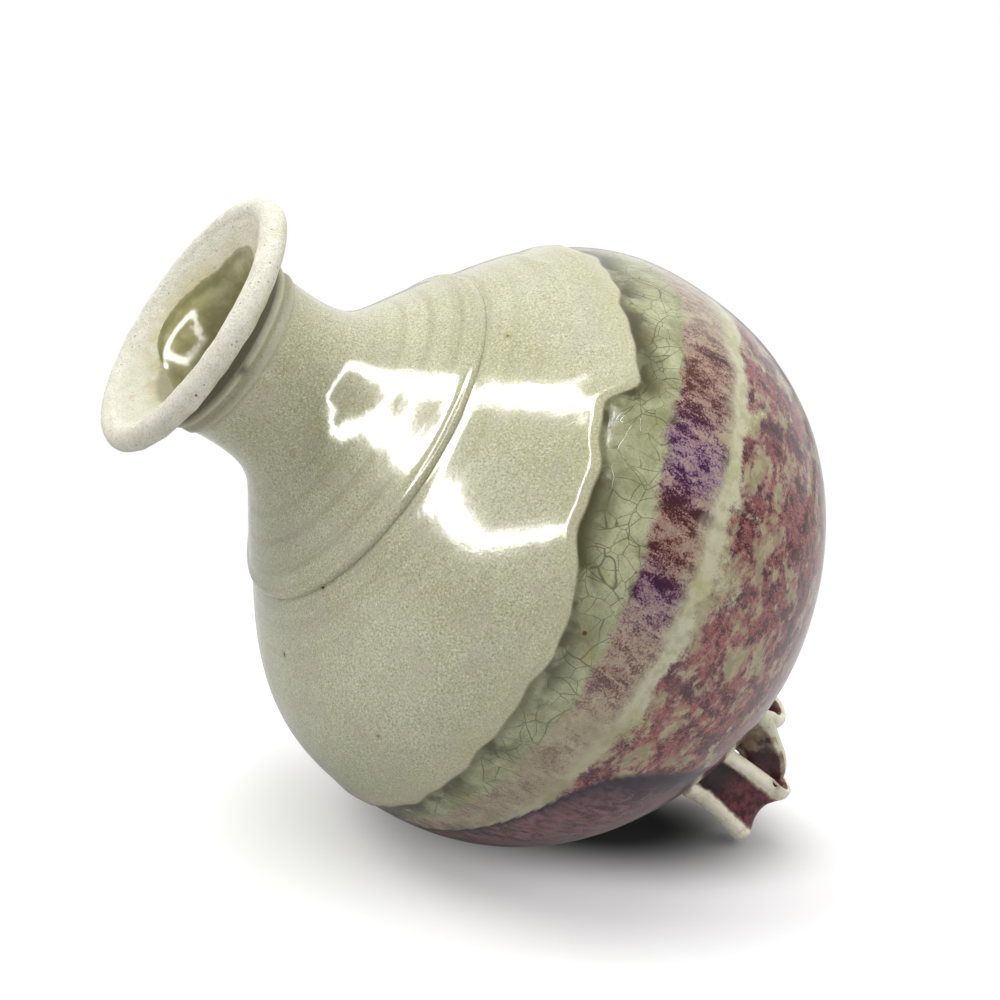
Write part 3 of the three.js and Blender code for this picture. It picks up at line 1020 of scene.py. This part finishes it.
def clay_material():
    """Bare clay, and the green glaze where the throat starts, with painted shade under the flange and
    deeper down the throat.
    """
    g = Graph(bpy.data.materials.new("bare_clay"), thrown=True)
    inside = g.attribute("inside_glaze")
    dish = g.attribute("dish")
    glazed = g.steps(g.plus(inside, g.swing(g.noise(0.5, 3.0, 0.6), 0.9)), -0.3, 0.4)
    grain = g.noise(2.8, 3.0, 0.8)

    clay = g.mix(g.steps(g.noise(0.35, 4.0, 0.6), 0.35, 0.7), "eae8d9", "dcd9c4")
    clay = g.tints(
        clay,
        ("b3ad96", grain, 0.5, 0.66, 0.65),
        ("f1eee4", grain, 0.46, 0.3, 0.5),
        ("cbc7ad", dish, 0.5),
    )
    stain = g.times(g.steps(inside, -4.0, -0.3), g.steps(g.noise(0.12, 3.0, 0.6), 0.4, 0.6))
    clay = g.tint(clay, "c6b47c", stain, 0.6)
    blush = g.times(g.steps(g.noise(0.2, 2.0, 0.5, shift=(7.0, 1.0, 4.0)), 0.6, 0.72), dish)
    clay = g.tints(
        clay,
        ("c39f86", blush, 0.45),
        ("4a3a2a", speckle(g, 0.3, 0.3, 0.1), 0.85),
        ("7d705c", speckle(g, 1.1, 0.12, 0.3, (5.0, 2.0, 8.0)), 0.6),
    )
    tinge = g.times(g.attribute("tinge"), g.steps(g.noise(0.15, 3.0, 0.6), 0.35, 0.6))
    clay = g.tint(clay, "b3ad82", tinge, 0.6)
    # Painted shade under the flange
    clay = g.tint(clay, "88825f", g.attribute("under"), 0.75)

    green = g.mix(g.steps(g.noise(0.3, 3.0, 0.6), 0.35, 0.65), "b0ac80", "94905f")
    rim = g.inverse(g.steps(g.math("ABSOLUTE", g.minus(inside, 0.9)), 0.2, 1.5))
    green = g.tint(green, "67633f", rim, 0.6)
    # Painted shade deeper down the throat
    green = g.tint(green, "6b673f", g.attribute("deep_throat_shade"), 0.7)

    roughness = g.plus(CLAY_ROUGHNESS, g.times(glazed, -THROAT_SMOOTHER_BY))
    coarse = g.plus(g.times(grain, 0.6), g.times(g.noise(0.9, 2.0, 0.6), 0.5))
    grit = g.times(coarse, g.inverse(g.times(glazed, 0.95)))
    return g.finish(g.mix(glazed, clay, green), roughness, g.bump(grit, 0.6, 1.0))


def foot_material():
    """Burgundy in the strap's groove, worn to cream clay on its lips, and green on its tail, with painted
    shade on the red near the root and inside the loop on the tail.
    """
    g = Graph(bpy.data.materials.new("foot_glaze"))
    tail = g.attribute("tail")
    worn = g.plus(g.attribute("lip"), g.swing(g.noise(0.4, 3.0, 0.6), 0.5))
    bare = g.steps(g.plus(worn, g.times(tail, 0.4)), 0.3, 0.62)
    mottle = g.noise(0.7, 4.0, 0.65)
    red = g.mix(g.steps(mottle, 0.38, 0.62), "743a42", "432021")
    # Painted shade on the red near the strap's root, against the globe
    red = g.mix(g.steps(g.attribute("run"), 13.0, 5.0), red, "2a1a1b")
    # Painted shade on the red of the tail, inside the loop
    red = g.tint(red, "2a1416", g.steps(tail, 0.02, 0.3), 0.75)
    cream = g.mix(g.steps(g.noise(0.6, 3.0, 0.6), 0.4, 0.7), "ece7d4", "d8d1b3")
    green = g.mix(g.steps(mottle, 0.4, 0.65), "c4c5ae", "a5a88b")
    tone = g.mix(bare, red, g.mix(tail, cream, green))
    rim = g.inverse(g.steps(g.math("ABSOLUTE", g.minus(bare, 0.5)), 0.1, 0.5))
    tone = g.tint(tone, "8a5f33", rim, 0.45)
    roughness = g.plus(FOOT_ROUGHNESS, g.times(bare, 0.1))
    return g.finish(tone, roughness, g.bump(g.noise(0.9, 3.0, 0.5), 0.2, 0.5))


# Floor, light and backdrop

# Roughly the way up in the photograph. The floor's tilt is worked out from it and the vase
ABOUT_UP = Vector((0.680, 0.0327, 0.7325))
FLOOR_SPAN = 3.0
FLOOR_GAP = 0.3
FLOOR_PALE = 0.82
FLOOR_BOUNCE = 0.55
FLOOR_LIFT = 0.3

# Where the floor fades to plain white, in millimetres from the point under the globe
FADE_START = 70.0
FADE_END = 170.0

# The darkest part of the shadow, close to where the vase touches: its middle and reach in millimetres
# from the point under the globe, to the right and away from the camera, the shares of its reach
# between which it fades, and what is left of the floor's colour in its middle
SHADE_MIDDLE = (18.0, 7.0, 0.0)
SHADE_REACH = (30.0, 19.0, 1.0)
SHADE_FADE = (0.45, 1.8)
SHADE_LEFT = 0.03


def rest_normal():
    """The floor's upward direction: the vase lies on its globe and on the tip of a strap foot."""
    level = ABOUT_UP.normalized()
    tips = [v.co - GLOBE_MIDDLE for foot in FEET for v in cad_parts[foot["name"]].data.vertices]
    for _ in range(40):
        lowest = min(tips, key=level.dot)
        over = -lowest.dot(level) - BELLY_RADIUS * MM
        if over < 1e-6:
            break
        level = (level + lowest * (over / lowest.length_squared) * 0.9).normalized()
    return level


def floor_material():
    """Pale with a darkened spot to the camera, plain white further out, and grey to other rays. Seen
    from below it is clear."""
    g = Graph(bpy.data.materials.new("floor"))
    camera_ray = g.node("LightPath").outputs["Is Camera Ray"]
    off = g.vector("DIVIDE", g.vector("SUBTRACT", g.place(), SHADE_MIDDLE), SHADE_REACH)
    off = g.vector("LENGTH", off, out="Value")
    clear_of_shade = g.plus(SHADE_LEFT, g.times(g.steps(off, *SHADE_FADE), 1.0 - SHADE_LEFT))
    pale = g.mix(clear_of_shade, grey(0.0), grey(FLOOR_PALE))
    matt = g.node("BsdfDiffuse", {"Color": g.mix(camera_ray, grey(FLOOR_BOUNCE), pale)})
    lift = g.node("Emission", {"Color": pale, "Strength": g.times(camera_ray, FLOOR_LIFT)})
    near = g.node("AddShader", {0: matt.outputs[0], 1: lift.outputs[0]})
    beyond = g.node("Emission", {"Color": grey(1.0), "Strength": 1.0})
    reach = g.vector("LENGTH", g.place(), out="Value")
    share = g.times(g.steps(reach, FADE_START, FADE_END), camera_ray)
    top = g.node("MixShader", {0: share, 1: near.outputs[0], 2: beyond.outputs[0]})
    clear = g.node("BsdfTransparent")
    below = g.node("NewGeometry").outputs["Backfacing"]
    both = g.node("MixShader", {0: below, 1: top.outputs[0], 2: clear.outputs[0]})
    g.node("OutputMaterial", {"Surface": both.outputs[0]})
    return g.owner


def add_floor(level):
    place = GLOBE_MIDDLE - level * (BELLY_RADIUS + FLOOR_GAP) * MM
    side = (CAMERA_RIGHT - level * CAMERA_RIGHT.dot(level)).normalized()
    corners = [(x * FLOOR_SPAN, y * FLOOR_SPAN, 0.0) for x, y in ((-1, -1), (1, -1), (1, 1), (-1, 1))]
    mesh = bpy.data.meshes.new("floor")
    mesh.from_pydata(corners, [], [(0, 1, 2, 3)])
    mesh.materials.append(floor_material())
    floor = linked("floor", mesh)
    floor.matrix_world = turned(side, level.cross(side), level, place)


def seen(right, up, back):
    """A direction from its shares along the camera's axes."""
    return (CAMERA_RIGHT * right + CAMERA_UP * up + CAMERA_BACK * back).normalized()


def facing_globe(place):
    """A placing matrix at a point, turned to the globe's middle."""
    back = (place - GLOBE_MIDDLE).normalized()
    right = CAMERA_UP.cross(back).normalized()
    return turned(right, back.cross(right), back, place)


# Lamps: name, direction along the camera's axes, distance and width in metres, and watts
LAMPS = [
    ("key", seen(-0.5, 0.8, 0.45), 0.8, 0.5, 3.3),
    ("top", seen(0.25, 0.95, 0.05), 1.0, 0.8, 3.4),
    ("side", seen(0.9, 0.25, 0.35), 1.0, 0.8, 3.2),
]


def add_lamp(name, direction, distance, width, watts):
    """A round lamp that reflections don't show."""
    data = bpy.data.lights.new(name, "AREA")
    data.shape = "DISK"
    data.size = width
    data.energy = watts
    lamp = linked(name, data)
    lamp.matrix_world = facing_globe(GLOBE_MIDDLE + direction * distance)
    lamp.visible_glossy = False


# Frame of light, in metres: direction and distance from the globe's middle, and each outline as left,
# right, bottom, top and the rounding of its corners
FRAME_DIRECTION = seen(-0.227, 0.564, 0.794)
FRAME_DISTANCE = 0.2465
FRAME_OUTER = (-0.139, 0.098, -0.105, 0.126, 0.05)
FRAME_INNER = (-0.1, 0.08, -0.086, 0.084, 0.036)
FRAME_STRENGTH = 30.0
CORNER_STEPS = 8


def rounded(left, right, bottom, top, rounding):
    """Points round a rectangle with rounded corners, from its upper right corner."""
    points = []
    corners = ((right, top, -1, -1), (left, top, 1, -1), (left, bottom, 1, 1), (right, bottom, -1, 1))
    for quarter, (x, y, inwards, upwards) in enumerate(corners):
        for step in range(CORNER_STEPS + 1):
            a = math.radians(90.0 * quarter + 90.0 * step / CORNER_STEPS)
            across = x + inwards * rounding + rounding * math.cos(a)
            points.append((across, y + upwards * rounding + rounding * math.sin(a), 0.0))
    return points


def add_frame_light():
    """A hollow square frame of light, as the photograph's reflections show."""
    outer = rounded(*FRAME_OUTER)
    inner = rounded(*FRAME_INNER)
    count = len(outer)
    faces = [(k, (k + 1) % count, count + (k + 1) % count, count + k) for k in range(count)]
    mesh = bpy.data.meshes.new("frame_light")
    mesh.from_pydata(outer + inner, [], faces)
    g = Graph(bpy.data.materials.new("frame_light"))
    glow = g.node("Emission", {"Color": grey(1.0), "Strength": FRAME_STRENGTH})
    g.node("OutputMaterial", {"Surface": glow.outputs[0]})
    mesh.materials.append(g.owner)
    light = linked("frame_light", mesh)
    light.matrix_world = facing_globe(GLOBE_MIDDLE + FRAME_DIRECTION * FRAME_DISTANCE)
    light.visible_camera = False
    light.visible_diffuse = False
    light.visible_shadow = False


# Brightness of the world, from low to overhead and from behind the camera to behind the vase
SKY = {"From Min": -0.3, "From Max": 1.0, "To Min": 0.1, "To Max": 0.9}
BACKDROP = {"From Min": -0.3, "From Max": 0.75, "To Min": 0.12, "To Max": 1.0}


def add_world(level):
    """White to the camera. In reflections the backdrop behind the vase is white and the room before it
    dim; to everything else it is a soft sky, brightest overhead."""
    world = bpy.data.worlds.new("studio")
    bpy.context.scene.world = world
    g = Graph(world)
    towards = g.node("TexCoord").outputs["Generated"]

    def brightness(direction, sockets):
        along = g.vector("DOT_PRODUCT", towards, direction, "Value")
        return g.node("MapRange", {"Value": along, **sockets}).outputs["Result"]

    ray = g.node("LightPath").outputs
    parts = {0: ray["Is Glossy Ray"], 2: brightness(level, SKY), 3: brightness(-CAMERA_BACK, BACKDROP)}
    unseen = g.node("Mix", parts).outputs[0]
    strength = g.node("Mix", {0: ray["Is Camera Ray"], 2: unseen, 3: 1.0}).outputs[0]
    glow = g.node("Background", {"Color": grey(1.0), "Strength": strength})
    g.node("OutputWorld", {"Surface": glow.outputs[0]})


add_camera()
glaze = glaze_material()
clay = clay_material()
foot_coat = foot_material()
make_globe(glaze)
make_neck(glaze)
make_mouth(clay)
for foot in FEET:
    make_foot(foot, foot_coat)
floor_up = rest_normal()
add_floor(floor_up)
for lamp in LAMPS:
    add_lamp(*lamp)
add_frame_light()
add_world(floor_up)
bpy.context.scene.view_settings.view_transform = "Standard"
